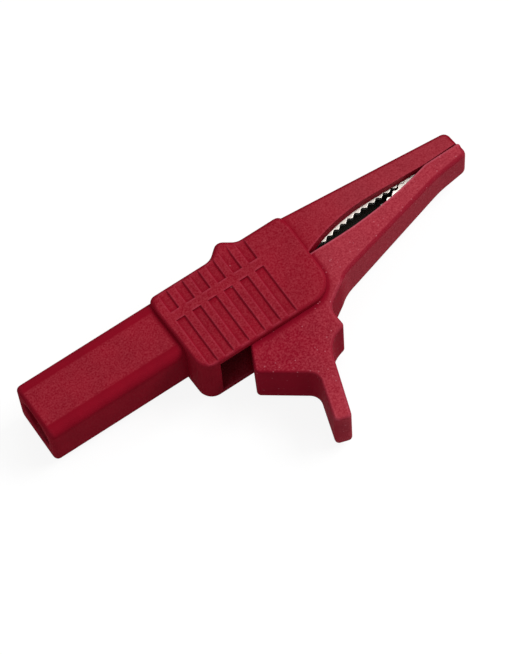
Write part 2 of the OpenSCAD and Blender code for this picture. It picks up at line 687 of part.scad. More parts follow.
module torsion_spring() {
    steps = ceil(coil_sweep / 360 * coil_steps);
    path = concat([[still_end.x, still_end.y, coil_half]], [
        for (k = [0:steps]) let (a = still_angle - coil_sweep * k / steps, p = on_circle(coil_r, a))
            [p.x, p.y, coil_half - 2 * coil_half * k / steps]
    ], [[moving_end.x, moving_end.y, -coil_half]]);
    n = len(path);
    rings = [for (k = [0:n - 1]) let (
        along = unit(path[min(k + 1, n - 1)] - path[max(k - 1, 0)]),
        across = unit(cross(along, [0, 0, 1])),
        over = cross(across, along)
    ) for (i = [0:wire_sides - 1]) let (a = 360 * i / wire_sides)
        path[k] + wire_d / 2 * (cos(a) * across + sin(a) * over)];
    function at(k, i) = k * wire_sides + i % wire_sides;
    color("#b7babf") polyhedron(rings, concat(
        [[for (i = [0:wire_sides - 1]) at(0, i)]],
        [for (k = [0:n - 2], i = [0:wire_sides - 1]) each [
            [at(k, i), at(k + 1, i), at(k + 1, i + 1)], [at(k, i), at(k + 1, i + 1), at(k, i + 1)]
        ]],
        [[for (i = [wire_sides - 1:-1:0]) at(n - 1, i)]]
    ));
}

module socket_sleeve() {
    color("#cfd0cc") difference() {
        union() {
            rotate([0, 90, 0]) {
                cylinder(r = sleeve_r, h = well_x);
                translate([0, 0, well_x]) cylinder(r = shoulder_r, h = shoulder_t);
            }
            translate([well_x, -tang_t / 2, -tang_w / 2]) cube([tang_end - well_x, tang_t, tang_w]);
        }
        rotate([0, 90, 0]) {
            translate([0, 0, -past]) cylinder(d = plug_d, h = plug_depth + past);
            cylinder(d1 = plug_d + 2 * mouth_bevel, d2 = plug_d, h = mouth_bevel);
        }
        rivet_bore();
    }
}

// Bore through the strap and the tang
module rivet_bore() {
    translate([rivet_x, 0, 0]) rotate([-90, 0, 0])
        cylinder(r = rivet_d / 2 + pin_gap, h = 4 * tang_t, center = true);
}

module strap_rivet() {
    grip = tang_t + sheet_t;
    color("#cfd0cc") translate([rivet_x, -tang_t / 2, 0]) rotate([-90, 0, 0]) {
        cylinder(d = rivet_d, h = grip);
        translate([0, 0, grip]) cylinder(r1 = rivet_head_r, r2 = rivet_d / 2, h = rivet_head_t);
        translate([0, 0, -rivet_head_t]) cylinder(r1 = rivet_d / 2, r2 = rivet_head_r, h = rivet_head_t);
    }
}

housing();
trigger_jaw();
upper_contact();
lower_contact();
pivot_pin();
torsion_spring();
socket_sleeve();
strap_rivet();
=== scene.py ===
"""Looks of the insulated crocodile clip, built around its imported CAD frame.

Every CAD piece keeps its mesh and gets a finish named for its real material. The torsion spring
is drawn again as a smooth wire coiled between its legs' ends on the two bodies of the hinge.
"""

import logging
import math
from collections.abc import Mapping
from dataclasses import dataclass
from enum import Enum
from typing import Any

import bpy
from mathutils import Matrix, Vector


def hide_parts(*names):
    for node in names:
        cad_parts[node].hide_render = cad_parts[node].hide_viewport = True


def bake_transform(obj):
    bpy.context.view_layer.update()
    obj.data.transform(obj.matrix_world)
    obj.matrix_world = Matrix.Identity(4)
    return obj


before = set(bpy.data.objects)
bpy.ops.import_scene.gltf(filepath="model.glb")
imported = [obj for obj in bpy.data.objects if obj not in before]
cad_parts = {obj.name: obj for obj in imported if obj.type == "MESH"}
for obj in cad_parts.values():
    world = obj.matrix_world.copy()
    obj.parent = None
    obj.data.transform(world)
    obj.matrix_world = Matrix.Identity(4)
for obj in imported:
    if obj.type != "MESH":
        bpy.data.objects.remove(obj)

Tree = bpy.types.NodeTree
Source = bpy.types.Node | bpy.types.NodeSocket
Span = tuple[float, float]
FlatPoint = tuple[float, float]
Point = tuple[float, float, float]

LOG = logging.getLogger("clip")
MM = 0.001
WHITE = "#ffffff"
# Nearly all values of a noise texture lie in this span.
NOISE_SPAN = (0.3, 0.7)
# How many rays look for an edge, and for what lies near a point.
EDGE_RAYS = 6
NEAR_RAYS = 10
# Sockets of a mix node: its first colour, its second colour and the result.
MIX_FIRST = 6
MIX_SECOND = 7
MIX_RESULT = 2


class Slot(Enum):
    """Material slots of the record."""

    HOUSING = "housing_plastic"
    TRIGGER = "trigger_plastic"
    CONTACT = "contact_nickel"
    SOCKET = "socket_nickel"
    SPRING = "spring_steel"
    PIN = "pin_steel"


class Body(Enum):
    """Bodies of the record's behaviour."""

    CLIP = "clip_body"
    TRIGGER = "trigger"


class Tangent(Enum):
    """Side on which a leg leaves the coil, seen from the hinge towards the leg's end."""

    LEFT = 1
    RIGHT = -1


def linear(hex_colour: str) -> tuple[float, float, float, float]:
    """Turns an sRGB hex colour into linear RGBA.

    Args:
        hex_colour: Colour as "#rrggbb".

    Returns:
        Linear red, green, blue and an alpha of 1.
    """
    channels = (int(hex_colour[i : i + 2], 16) / 255 for i in (1, 3, 5))
    red, green, blue = (
        c / 12.92 if c <= 0.04045 else ((c + 0.055) / 1.055) ** 2.4 for c in channels
    )
    return red, green, blue, 1.0


def metres(lengths: tuple[float, ...]) -> tuple[float, ...]:
    """Turns lengths or coordinates from millimetres into metres."""
    return tuple(length * MM for length in lengths)


def limits(span: Span, onto: Span = (0.0, 1.0)) -> dict[str, float]:
    """Names the ends of a span, and of the span that it is mapped onto, as their sockets are named."""
    return {"From Min": span[0], "From Max": span[1], "To Min": onto[0], "To Max": onto[1]}


def add_node(
    tree: Tree,
    kind: str,
    values: Mapping[str | int, Any] | None = None,
    links: Mapping[str | int, Source] | None = None,
    **settings: Any,
) -> bpy.types.Node:
    """Adds one node with its settings, socket values and links.

    Args:
        tree: Node tree to add to.
        kind: Node type, such as "ShaderNodeBump".
        values: Socket defaults by input name or number.
        links: What feeds an input, by the input's name or number. A node gives its first output.
        **settings: Attributes of the node.

    Returns:
        The new node.
    """
    node = tree.nodes.new(kind)
    for name, value in settings.items():
        setattr(node, name, value)
    for key, value in (values or {}).items():
        node.inputs[key].default_value = value
    for key, source in (links or {}).items():
        output = source.outputs[0] if isinstance(source, bpy.types.Node) else source
        tree.links.new(output, node.inputs[key])
    return node


def new_material(name: str) -> tuple[bpy.types.Material, Tree]:
    """Makes an empty node material.

    Args:
        name: Material name.

    Returns:
        The material and its cleared node tree.
    """
    material = bpy.data.materials.new(name)
    material.use_nodes = True
    material.node_tree.nodes.clear()
    return material, material.node_tree


def facing_z(tree: Tree) -> bpy.types.NodeSocket:
    """Gives the surface normal's Z in the piece's own frame.

    Args:
        tree: Node tree to add to.

    Returns:
        The normal's Z.
    """
    normal = add_node(tree, "ShaderNodeNewGeometry").outputs["Normal"]
    own = add_node(
        tree, "ShaderNodeVectorTransform", None, {0: normal},
        vector_type="NORMAL", convert_from="WORLD", convert_to="OBJECT",
    )
    return add_node(tree, "ShaderNodeSeparateXYZ", None, {0: own}).outputs["Z"]


def relief(tree: Tree, height: Source, depth: float, edge: float) -> bpy.types.Node:
    """Rounds every edge and raises a fine relief on the surface.

    Args:
        tree: Node tree to add to.
        height: Pattern of the relief.
        depth: Depth of the relief, mm.
        edge: Radius of the edges, mm.

    Returns:
        The node that gives the surface normal.
    """
    rounded = add_node(tree, "ShaderNodeBevel", {"Radius": edge * MM}, samples=EDGE_RAYS)
    return add_node(
        tree, "ShaderNodeBump", {"Strength": 1.0, "Distance": depth * MM},
        {"Height": height, "Normal": rounded},
    )


@dataclass(frozen=True)
class Finish:
    """A surface finish.

    Attributes:
        name: Real material and how it was made.
        colour: sRGB hex colour.
        roughness: Principled roughness.
    """

    name: str
    colour: str
    roughness: float

    def material(self) -> bpy.types.Material:
        """Returns the finish as a material, made once."""
        return bpy.data.materials.get(self.name) or self.build()

    def build(self) -> bpy.types.Material:
        """Builds the material's nodes. Each kind of finish has its own."""
        raise NotImplementedError


@dataclass(frozen=True)
class MouldedPlastic(Finish):
    """Glass-filled polyamide, moulded in a spark-eroded tool.

    The tool's pits give a fine even grain. Over it lies a pale painted sheen, which stands for the
    pits' glints, so flat faces look a little pale. The painted sheen is left off rounded edges, the
    tail's long corners and the walls near the gate, which show the full colour, and off places that
    other faces shade.
    It lies thicker far from the gate. Upper rims of sharp edges are pale, partly from handling wear
    and partly as a painted highlight, and ends of glass fibres show as specks.

    Attributes:
        gate: Where the melt came in, in the part's frame, mm.
        reach: Distances from the gate between which glints, rubbing and value change, mm.
        far_value: Value of the colour far from the gate.
        cloud: Size of the soft clouds in the colour, mm.
        mottle: How far the clouds change the value.
        painted_glint: sRGB hex colour of the painted sheen, which stands for the pits' glints.
        painted_glint_share: Share of the painted sheen near the gate and far from it.
        painted_glint_spread: How far single pits differ from that share.
        grain: Size of the eroded pits, mm.
        grain_depth: Depth of the pits, mm.
        glint_shade_reach: How near another face must be to shade the painted sheen off, mm.
        glint_shade_open: How open a place is where the painted sheen begins, and where all of it
            shows.
        unsheened_share: Share of the painted sheen that roundings, walls near the gate and long
            corners lose.
        flat_tilt: Z of the normal where a flat face ends, and where a rounding has lost the painted
            sheen.
        wall_tilt: Z of the normal where a wall ends, and where a rounding has lost the painted sheen.
        near_wall_sheen_loss: How much of the painted sheen the walls near the gate lose.
        near_wall_reach: Distances from the gate between which walls go from without to with the
            painted sheen, mm.
        corner: Distances from the two middle planes between which long corners lose the painted sheen,
            mm.
        sheen_free_corner_reach: Distances from the gate between which those corners without painted
            sheen end, mm.
        edge: Radius that the tool leaves on every edge, mm.
        rim: How far from an edge the pale rim reaches, mm.
        rim_backing: How much material lies behind a face where a rim begins, and at the edge.
        rim_tilt: Z of the normal up to which a rim stays plain, and from which it is pale.
        rim_wear_and_highlight: sRGB hex colour of a rim, partly handling wear and partly a painted
            highlight.
        rim_wear_and_highlight_share: How much of that colour the rims have near the gate and far from
            it.
        speck: sRGB hex colour of a speck.
        speck_cell: Mean distance between places for a speck, mm.
        speck_share: Share of those places that hold one.
        speck_radius: Distances from its middle between which a speck fades, mm.
        speck_strength: Share of the speck's colour in its middle.
        ior: Refractive index.
        sheen: Specular level, kept low, since most of the surface's reflection is painted into the
            colour as the pits' glints.
    """

    gate: Point = (0.0, 0.0, 0.0)
    reach: Span = (50.0, 62.0)
    far_value: float = 1.0
    cloud: float = 5.0
    mottle: float = 0.08
    painted_glint: str = "#ff7c88"
    painted_glint_share: Span = (0.052, 0.098)
    painted_glint_spread: float = 0.06
    # Real pits are about a third of this, too fine to show in the render, so they are drawn coarser.
    grain: float = 0.3
    grain_depth: float = 0.012
    glint_shade_reach: float = 1.2
    glint_shade_open: Span = (0.84, 0.985)
    unsheened_share: float = 0.95
    flat_tilt: Span = (0.99, 0.9)
    wall_tilt: Span = (0.1, 0.4)
    near_wall_sheen_loss: float = 1.0
    near_wall_reach: Span = (50.0, 62.0)
    corner: Span = (3.5, 3.8)
    sheen_free_corner_reach: Span = (0.0, 0.0)
    edge: float = 0.22
    rim: float = 0.45
    rim_backing: Span = (0.975, 0.84)
    rim_tilt: Span = (0.05, 0.35)
    rim_wear_and_highlight: str = "#b04456"
    rim_wear_and_highlight_share: Span = (0.28, 0.1)
    speck: str = "#d98a97"
    speck_cell: float = 0.5
    speck_share: float = 0.04
    # A fibre's end is about 0.01 mm across, too fine to show, so a speck is drawn this wide.
    speck_radius: Span = (0.04, 0.16)
    speck_strength: float = 0.4
    ior: float = 1.53
    sheen: float = 0.02

    def build(self) -> bpy.types.Material:
        """Builds colour, grain and rounded edges.

        Returns:
            The new material.
        """
        material, tree = new_material(self.name)
        place = add_node(tree, "ShaderNodeTexCoord").outputs["Object"]
        run = add_node(
            tree, "ShaderNodeVectorMath", {1: metres(self.gate)}, {0: place}, operation="DISTANCE"
        ).outputs["Value"]
        pits = add_node(
            tree, "ShaderNodeTexNoise",
            {"Scale": 1 / (self.grain * MM), "Detail": 2.0, "Roughness": 0.6}, {"Vector": place},
        )
        colour = self._base(tree, place, run)
        # Layers over the base colour: the painted sheen of the pits' glints, pale rims that are partly
        # wear and partly a painted highlight, and fibre specks.
        layers = (
            (self.painted_glint, self._painted_glints(tree, place, run, pits)),
            (self.rim_wear_and_highlight, self._worn_and_lit_rims(tree, run)),
            (self.speck, self._specks(tree, place)),
        )
        for layer, share in layers:
            colour = add_node(
                tree, "ShaderNodeMix", {MIX_SECOND: linear(layer)}, {0: share, MIX_FIRST: colour},
                data_type="RGBA",
            ).outputs[MIX_RESULT]
        shader = add_node(
            tree, "ShaderNodeBsdfPrincipled",
            {"Roughness": self.roughness, "IOR": self.ior, "Specular IOR Level": self.sheen},
            {"Base Color": colour, "Normal": relief(tree, pits, self.grain_depth, self.edge)},
        )
        add_node(tree, "ShaderNodeOutputMaterial", None, {"Surface": shader})
        return material

    def _base(self, tree: Tree, place: Source, run: Source) -> Source:
        """Tones the base colour in soft clouds and by the distance from the gate.

        Args:
            tree: Node tree to add to.
            place: Object coordinates.
            run: Distance from the gate.

        Returns:
            The toned colour.
        """
        clouds = add_node(
            tree, "ShaderNodeTexNoise", {"Scale": 1 / (self.cloud * MM), "Detail": 3.0},
            {"Vector": place},
        )
        mottled = add_node(
            tree, "ShaderNodeMapRange", limits(NOISE_SPAN, (1 - self.mottle, 1 + self.mottle)),
            {"Value": clouds},
        )
        faded = add_node(
            tree, "ShaderNodeMapRange", limits(metres(self.reach), (1.0, self.far_value)),
            {"Value": run},
        )
        level = add_node(
            tree, "ShaderNodeMath", None, {0: mottled, 1: faded}, operation="MULTIPLY"
        )
        return add_node(
            tree, "ShaderNodeHueSaturation", {"Color": linear(self.colour)}, {"Value": level}
        )

    def _sheen_free_corners(self, tree: Tree, place: Source, run: Source) -> Source:
        """Finds the long corners round the part's X axis, which lose the painted sheen and show as a
        band of full colour.

        Args:
            tree: Node tree to add to.
            place: Object coordinates.
            run: Distance from the gate.

        Returns:
            How much of the painted sheen is left off there.
        """
        off_axis = add_node(tree, "ShaderNodeVectorMath", None, {0: place}, operation="ABSOLUTE")
        sides = add_node(tree, "ShaderNodeSeparateXYZ", None, {0: off_axis}).outputs
        inner = add_node(
            tree, "ShaderNodeMath", None, {0: sides["Y"], 1: sides["Z"]}, operation="MINIMUM"
        )
        corners = add_node(
            tree, "ShaderNodeMapRange", limits(metres(self.corner), (0.0, self.unsheened_share)),
            {"Value": inner},
        )
        near = add_node(
            tree, "ShaderNodeMapRange", limits(metres(self.sheen_free_corner_reach), (1.0, 0.0)),
            {"Value": run},
        )
        return add_node(
            tree, "ShaderNodeMath", None, {0: corners, 1: near}, operation="MULTIPLY"
        )

    def _sheen_free_faces(self, tree: Tree, place: Source, run: Source) -> Source:
        """Finds where the painted sheen is left off: roundings, walls near the gate and long corners.

        Args:
            tree: Node tree to add to.
            place: Object coordinates.
            run: Distance from the gate.

        Returns:
            How much of the painted sheen is left off.
        """
        tilt = add_node(tree, "ShaderNodeMath", None, {0: facing_z(tree)}, operation="ABSOLUTE")
        below_flat = add_node(
            tree, "ShaderNodeMapRange", limits(self.flat_tilt, (0.0, self.unsheened_share)),
            {"Value": tilt},
        )
        above_wall = add_node(
            tree, "ShaderNodeMapRange", limits(self.wall_tilt), {"Value": tilt}
        )
        # Walls near the gate get little painted sheen, so they stay darker and fuller in colour.
        near_walls = add_node(
            tree, "ShaderNodeMapRange", limits(metres(self.near_wall_reach), (self.near_wall_sheen_loss, 0.0)),
            {"Value": run},
        )
        either = add_node(
            tree, "ShaderNodeMath", None, {0: above_wall, 1: near_walls}, operation="MAXIMUM"
        )
        turned = add_node(
            tree, "ShaderNodeMath", None, {0: below_flat, 1: either}, operation="MULTIPLY"
        )
        return add_node(
            tree, "ShaderNodeMath", None, {0: turned, 1: self._sheen_free_corners(tree, place, run)},
            operation="MAXIMUM",
        )

    def _painted_glints(self, tree: Tree, place: Source, run: Source, pits: Source) -> Source:
        """Spreads the painted sheen of the pits' glints over flat, open faces, more of it far from the
        gate.

        Args:
            tree: Node tree to add to.
            place: Object coordinates.
            run: Distance from the gate.
            pits: Noise of the pits.

        Returns:
            Share of the painted sheen's colour.
        """
        share = add_node(
            tree, "ShaderNodeMapRange", limits(metres(self.reach), self.painted_glint_share), {"Value": run}
        )
        grains = add_node(
            tree, "ShaderNodeMapRange", limits(NOISE_SPAN, (-self.painted_glint_spread, self.painted_glint_spread)),
            {"Value": pits},
        )
        glints = add_node(tree, "ShaderNodeMath", None, {0: grains, 1: share}, operation="ADD")
        sheen_faces = add_node(
            tree, "ShaderNodeMapRange", limits((0.0, 1.0), (1.0, 0.0)),
            {"Value": self._sheen_free_faces(tree, place, run)},
        )
        # Painted shade: the painted sheen is kept off places near other faces, so hollows, groove
        # floors and joints stay darker and fuller in colour.
        around = add_node(
            tree, "ShaderNodeAmbientOcclusion", {"Distance": self.glint_shade_reach * MM}, samples=NEAR_RAYS
        )
        glint_unshaded = add_node(
            tree, "ShaderNodeMapRange", limits(self.glint_shade_open), {"Value": around.outputs["AO"]}
        )
        shown = add_node(tree, "ShaderNodeMath", None, {0: sheen_faces, 1: glint_unshaded}, operation="MULTIPLY")
        return add_node(
            tree, "ShaderNodeMath", None, {0: glints, 1: shown}, operation="MULTIPLY"
        )

    def _worn_and_lit_rims(self, tree: Tree, run: Source) -> Source:
        """Finds the upper rims of the edges, from how little material lies behind the surface there.
        Their pale colour is partly handling wear and partly a painted highlight.

        Args:
            tree: Node tree to add to.
            run: Distance from the gate.

        Returns:
            Share of the rim's pale colour.
        """
        # The pale upper rims are partly handling wear and partly a painted highlight.
        behind = add_node(
            tree, "ShaderNodeAmbientOcclusion", {"Distance": self.rim * MM},
            samples=NEAR_RAYS, inside=True, only_local=True,
        )
        edges = add_node(
            tree, "ShaderNodeMapRange", limits(self.rim_backing), {"Value": behind.outputs["AO"]}
        )
        tilt = add_node(tree, "ShaderNodeMath", None, {0: facing_z(tree)}, operation="ABSOLUTE")
        upper = add_node(tree, "ShaderNodeMapRange", limits(self.rim_tilt), {"Value": tilt})
        rims = add_node(tree, "ShaderNodeMath", None, {0: edges, 1: upper}, operation="MULTIPLY")
        share = add_node(
            tree, "ShaderNodeMapRange", limits(metres(self.reach), self.rim_wear_and_highlight_share),
            {"Value": run},
        )
        return add_node(tree, "ShaderNodeMath", None, {0: rims, 1: share}, operation="MULTIPLY")

    def _specks(self, tree: Tree, place: Source) -> Source:
        """Scatters the ends of glass fibres.

        Args:
            tree: Node tree to add to.
            place: Object coordinates.

        Returns:
            Share of the specks' colour.
        """
        cells = add_node(
            tree, "ShaderNodeTexVoronoi", {"Scale": 1 / (self.speck_cell * MM)}, {"Vector": place}
        ).outputs
        inner, outer = (radius / self.speck_cell for radius in self.speck_radius)
        near = add_node(
            tree, "ShaderNodeMapRange", limits((inner, outer), (self.speck_strength, 0.0)),
            {"Value": cells["Distance"]},
        )
        chosen = add_node(
            tree, "ShaderNodeMath", {1: self.speck_share}, {0: cells["Color"]},
            operation="LESS_THAN",
        )
        return add_node(tree, "ShaderNodeMath", None, {0: near, 1: chosen}, operation="MULTIPLY")


@dataclass(frozen=True)
class Metal(Finish):
    """A plain metal with the marks of how it was made.

    Attributes:
        marks: Size of the marks along X, Y and Z, mm.
        marks_depth: Depth of the marks, mm.
        edge: Rounding left on the edges, mm.
        painted_inner_shade: sRGB hex colour of the painted shade on the inner faces of a channel along
            X, if it has any.
        painted_inner_shade_facing: How far a face looks outwards where the painted shade begins, and
            where it is full.
    """

    # Real marks are finer than this and don't show in the render, so they are drawn coarser.
    marks: Point = (0.3, 0.3, 0.3)
    marks_depth: float = 0.002
    edge: float = 0.06
    painted_inner_shade: str | None = None
    painted_inner_shade_facing: Span = (0.5, 0.0)

    def build(self) -> bpy.types.Material:
        """Builds the marks, the rounded edges and the painted shade inside.

        Returns:
            The new material.
        """
        material, tree = new_material(self.name)
        place = add_node(tree, "ShaderNodeTexCoord").outputs["Object"]
        scale = tuple(1 / (size * MM) for size in self.marks)
        sized = add_node(tree, "ShaderNodeMapping", {"Scale": scale}, {"Vector": place})
        marks = add_node(
            tree, "ShaderNodeTexNoise", {"Scale": 1.0, "Detail": 3.0}, {"Vector": sized}
        )
        links: dict[str | int, Source] = {
            "Normal": relief(tree, marks, self.marks_depth, self.edge)
        }
        # Painted shade: faces inside the channel get a dark brown-grey colour.
        if self.painted_inner_shade:
            links["Base Color"] = self._inner_shade_painted(tree, place, self.painted_inner_shade)
        shader = add_node(
            tree, "ShaderNodeBsdfPrincipled",
            {"Base Color": linear(self.colour), "Metallic": 1.0, "Roughness": self.roughness}, links,
        )
        add_node(tree, "ShaderNodeOutputMaterial", None, {"Surface": shader})
        return material

    def _inner_shade_painted(self, tree: Tree, place: Source, painted_inner_shade: str) -> Source:
        """Paints shade on faces that look towards the channel's middle plane.

        Args:
            tree: Node tree to add to.
            place: Object coordinates.
            painted_inner_shade: sRGB hex colour of the painted shade.

        Returns:
            The metal's colour.
        """
        side = add_node(tree, "ShaderNodeSeparateXYZ", None, {0: place}).outputs["Z"]
        sign = add_node(tree, "ShaderNodeMath", None, {0: side}, operation="SIGN")
        outward = add_node(
            tree, "ShaderNodeMath", None, {0: facing_z(tree), 1: sign}, operation="MULTIPLY"
        )
        inside = add_node(
            tree, "ShaderNodeMapRange", limits(self.painted_inner_shade_facing), {"Value": outward}
        )
        return add_node(
            tree, "ShaderNodeMix", {MIX_FIRST: linear(self.colour), MIX_SECOND: linear(painted_inner_shade)},
            {0: inside}, data_type="RGBA",
        ).outputs[MIX_RESULT]


# The two mouldings are the same crimson. The housing fills from the tail. Its tail and grip keep walls
# and long corners free of painted sheen, in full colour, and its jaw has more painted sheen, so it is
# a little pale.
HOUSING_PLASTIC = MouldedPlastic(
    "polyamide_crimson_moulded", "#80091d", 0.8,
    far_value=0.89, painted_glint_share=(0.053, 0.106), near_wall_sheen_loss=0.7, sheen_free_corner_reach=(22.0, 22.6),
)
# The trigger fills from its heel. Its jaw and leg get the most painted sheen and the palest rims,
# partly wear and partly painted highlight, and are the most speckled.
TRIGGER_PLASTIC = MouldedPlastic(
    "polyamide_crimson_moulded_trigger", "#820a20", 0.72,
    gate=(33.0, -12.0, 0.0), reach=(8.0, 18.0), painted_glint_share=(0.046, 0.135), painted_glint_spread=0.085,
    near_wall_reach=(17.5, 20.0), rim_wear_and_highlight="#c06070", rim_wear_and_highlight_share=(0.05, 0.5), speck_share=0.2,
)
# Nickel over stamped steel sheet: soft and bright outside, with a painted brown-grey shade on the
# faces inside the channel.
CONTACT_NICKEL = Metal(
    "nickel_plate_on_stamped_steel", "#ece8df", 0.48,
    marks=(0.2, 0.6, 0.2), marks_depth=0.0006, edge=0.12, painted_inner_shade="#4a453f",
)
# Nickel over turned brass: bright and warm, and the lathe tool's rings run round the socket.
SOCKET_NICKEL = Metal("nickel_plate_on_turned_brass", "#d4cfc2", 0.25, marks=(0.15, 2.0, 2.0))
# Drawn spring wire: smooth and grey, with a faint even grain.
SPRING_STEEL = Metal("spring_steel_drawn", "#b9babd", 0.3)
# Ground pin steel: bright and grey, with the wheel's fine rings round the pin.
PIN_STEEL = Metal("pin_steel_ground", "#c4c5c8", 0.24, marks=(1.0, 1.0, 0.08))


@dataclass(frozen=True)
class MouldedShading:
    """Smooth shading for CAD meshes, as modifiers that leave their mesh alone.

    Attributes:
        sharp_angle: Edges that turn more than this stay sharp, degrees.
        weld: Distance under which split vertices are one, mm.
        flat_weight: How much large faces lead the normals, percent.
    """

    sharp_angle: float = 32.0
    weld: float = 0.001
    flat_weight: int = 100

    def group(self) -> Tree:
        """Gives the node group that welds the mesh and marks its sharp edges, made once.

        Returns:
            The node group.
        """
        name = f"smooth_under_{self.sharp_angle:g}_degrees"
        found = bpy.data.node_groups.get(name)
        if found:
            return found
        tree = bpy.data.node_groups.new(name, "GeometryNodeTree")
        for direction in ("INPUT", "OUTPUT"):
            tree.interface.new_socket(
                "Geometry", in_out=direction, socket_type="NodeSocketGeometry"
            )
        start = add_node(tree, "NodeGroupInput")
        bare = add_node(tree, "GeometryNodeRemoveAttribute", {"Name": "custom_normal"}, {0: start})
        welded = add_node(
            tree, "GeometryNodeMergeByDistance", {"Distance": self.weld * MM}, {0: bare}
        )
        smooth = add_node(
            tree, "GeometryNodeSetShadeSmooth", {"Shade Smooth": True}, {0: welded}, domain="FACE"
        )
        angle = add_node(tree, "GeometryNodeInputMeshEdgeAngle")
        sharp = add_node(
            tree, "FunctionNodeCompare", {1: math.radians(self.sharp_angle)}, {0: angle},
            data_type="FLOAT", operation="GREATER_THAN",
        )
        split = add_node(
            tree, "GeometryNodeSetShadeSmooth", {"Shade Smooth": False},
            {0: smooth, "Selection": sharp}, domain="EDGE",
        )
        add_node(tree, "NodeGroupOutput", None, {0: split})
        return tree

    def apply(self, piece: bpy.types.Object) -> None:
        """Adds the shading to a piece.

        Args:
            piece: Mesh object.
        """
        modifier = piece.modifiers.new("moulded_shading", "NODES")
        modifier.node_group = self.group()
        weighted = piece.modifiers.new("flat_faces_first", "WEIGHTED_NORMAL")
        weighted.keep_sharp = True
        weighted.weight = self.flat_weight


@dataclass(frozen=True)
class CadPiece:
    """One CAD node that is shown as it was built.

    Attributes:
        node: Name of the CAD node.
        slot: Material slot of the record; not used.
        finish: Finish that it gets.
        shading: How its facets are shaded.
    """

    node: str
    slot: Slot
    finish: Finish
    shading: MouldedShading = MouldedShading()

    def dress(self) -> bpy.types.Object:
        """Gives the node its finish and shading.

        Returns:
            The CAD object.
        """
        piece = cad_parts[self.node]
        piece.data.materials.clear()
        piece.data.materials.append(self.finish.material())
        self.shading.apply(piece)
        return piece


@dataclass(frozen=True)
class SubAssembly:
    """Pieces that are fitted together.

    Attributes:
        pieces: The CAD nodes that it shows.
    """

    pieces: tuple[CadPiece, ...]

    def dress(self) -> list[bpy.types.Object]:
        """Dresses every piece and returns them."""
        return [piece.dress() for piece in self.pieces]


@dataclass(frozen=True)
class Insulation(SubAssembly):
    """The two mouldings that a hand touches: the housing and the trigger."""

    pieces: tuple[CadPiece, ...] = (
        CadPiece("housing", Slot.HOUSING, HOUSING_PLASTIC),
        CadPiece("trigger_jaw", Slot.TRIGGER, TRIGGER_PLASTIC),
    )


@dataclass(frozen=True)
class Conductors(SubAssembly):
    """The metal path from the jaws to the socket, and the pin that the trigger turns on."""

    pieces: tuple[CadPiece, ...] = (
        CadPiece("upper_contact", Slot.CONTACT, CONTACT_NICKEL),
        CadPiece("lower_contact", Slot.CONTACT, CONTACT_NICKEL),
        CadPiece("socket_sleeve", Slot.SOCKET, SOCKET_NICKEL),
        CadPiece("strap_rivet", Slot.SOCKET, SOCKET_NICKEL),
        CadPiece("pivot_pin", Slot.PIN, PIN_STEEL),
    )


